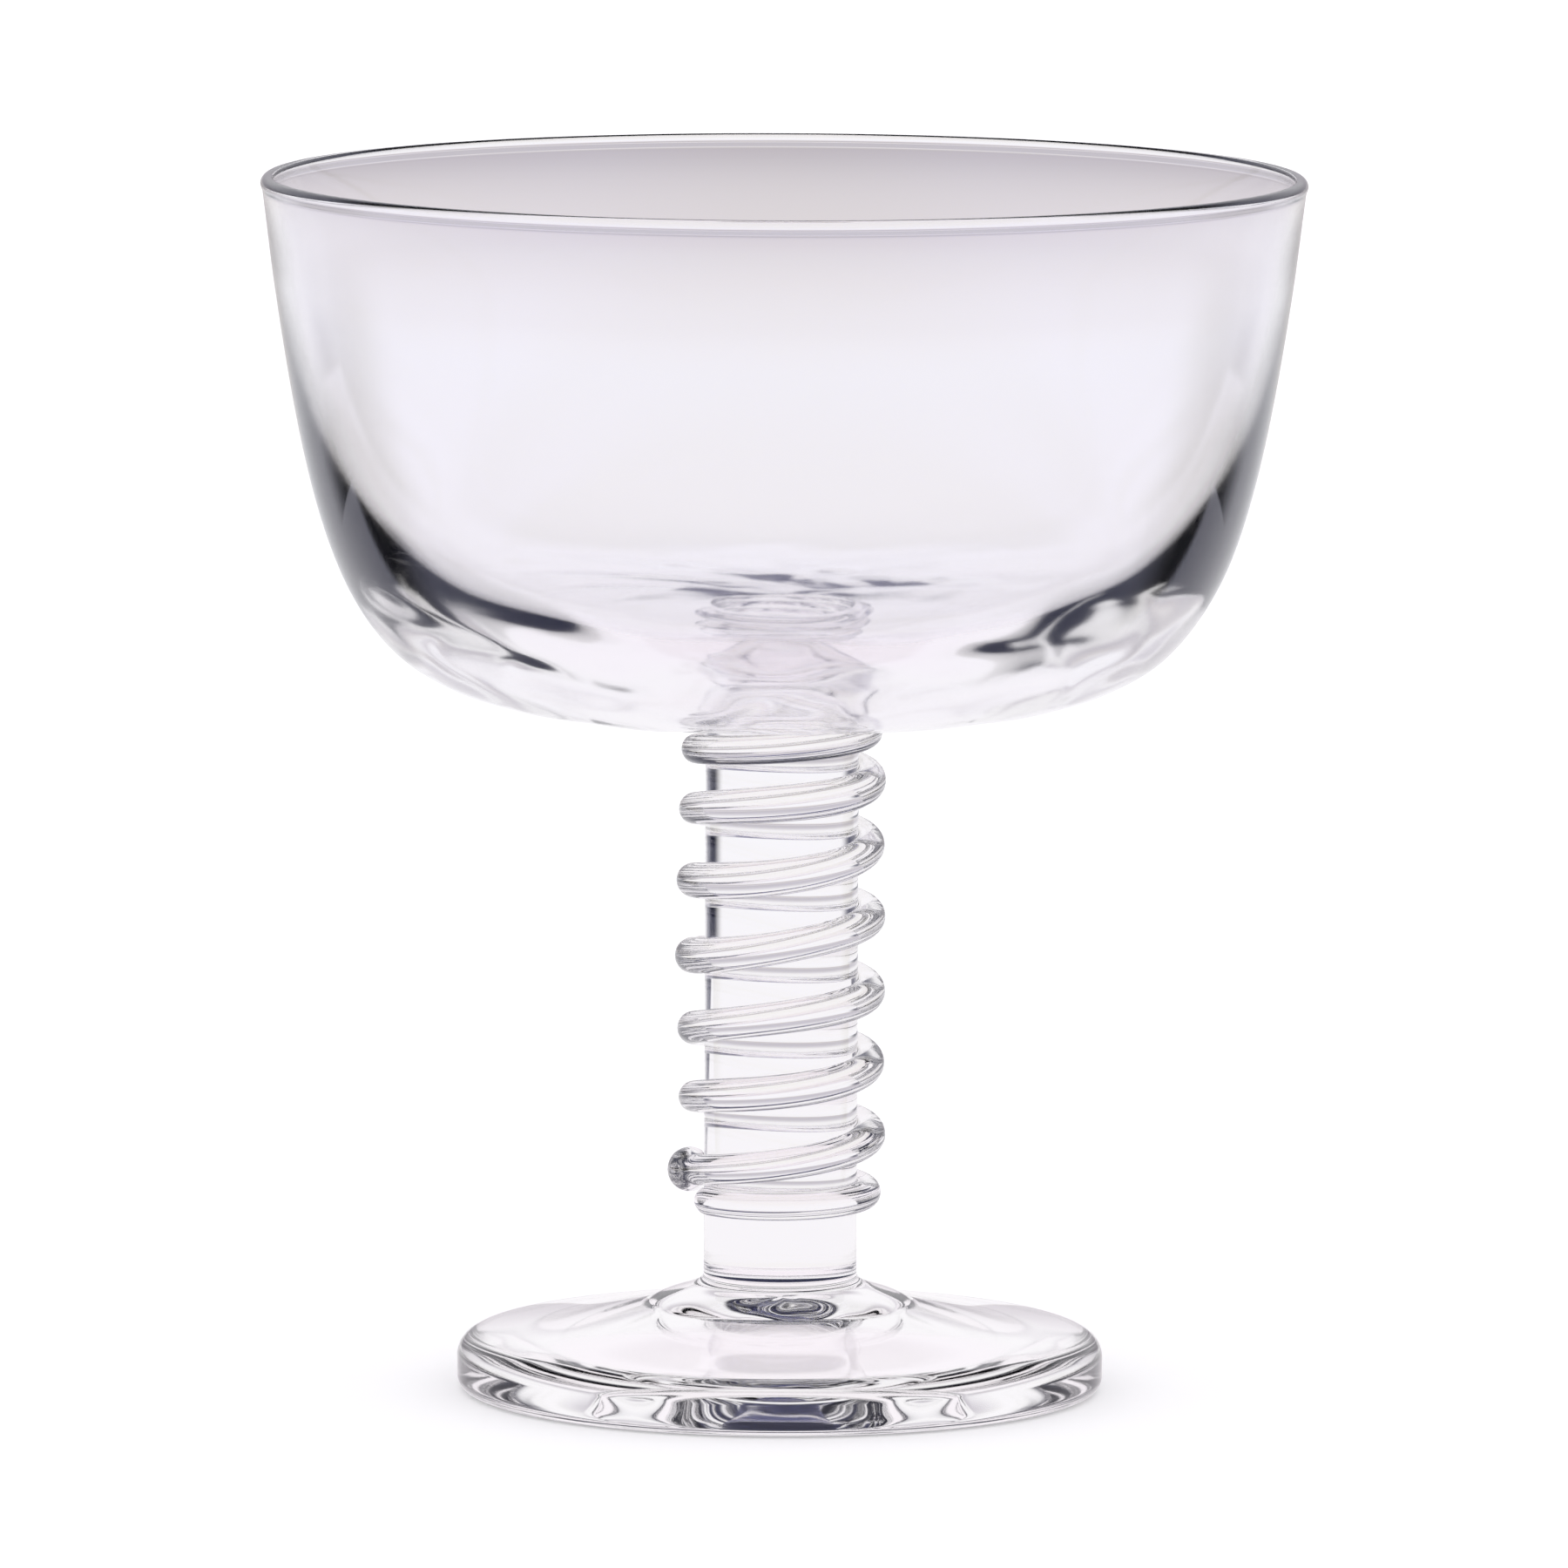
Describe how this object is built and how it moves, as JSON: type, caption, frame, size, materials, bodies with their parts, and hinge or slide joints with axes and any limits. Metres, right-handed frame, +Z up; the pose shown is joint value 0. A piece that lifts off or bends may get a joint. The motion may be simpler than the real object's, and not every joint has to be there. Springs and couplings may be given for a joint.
{
  "type": "champagne coupe",
  "caption": "Clear hand-blown champagne coupe: wide thick-based bowl, solid round stem wound with a raised glass thread, heavy disc foot.",
  "frame": {"origin": "centre of the foot's resting plane", "axes": "+Z up along the stem, from the foot to the bowl"},
  "size_m": [0.114, 0.114, 0.1333],
  "materials": {
    "foot_glass": "clear soda-lime glass, pressed and fire-polished",
    "stem_glass": "clear soda-lime glass, drawn and fire-polished",
    "thread_glass": "clear soda-lime glass thread, trailed hot",
    "bowl_glass": "clear soda-lime glass, blown, with a fire-polished lip"
  },
  "bodies": {
    "root": {"foot": "foot_glass", "stem": "stem_glass", "stem_thread": "thread_glass", "bowl": "bowl_glass"}
  },
  "joints": []
}
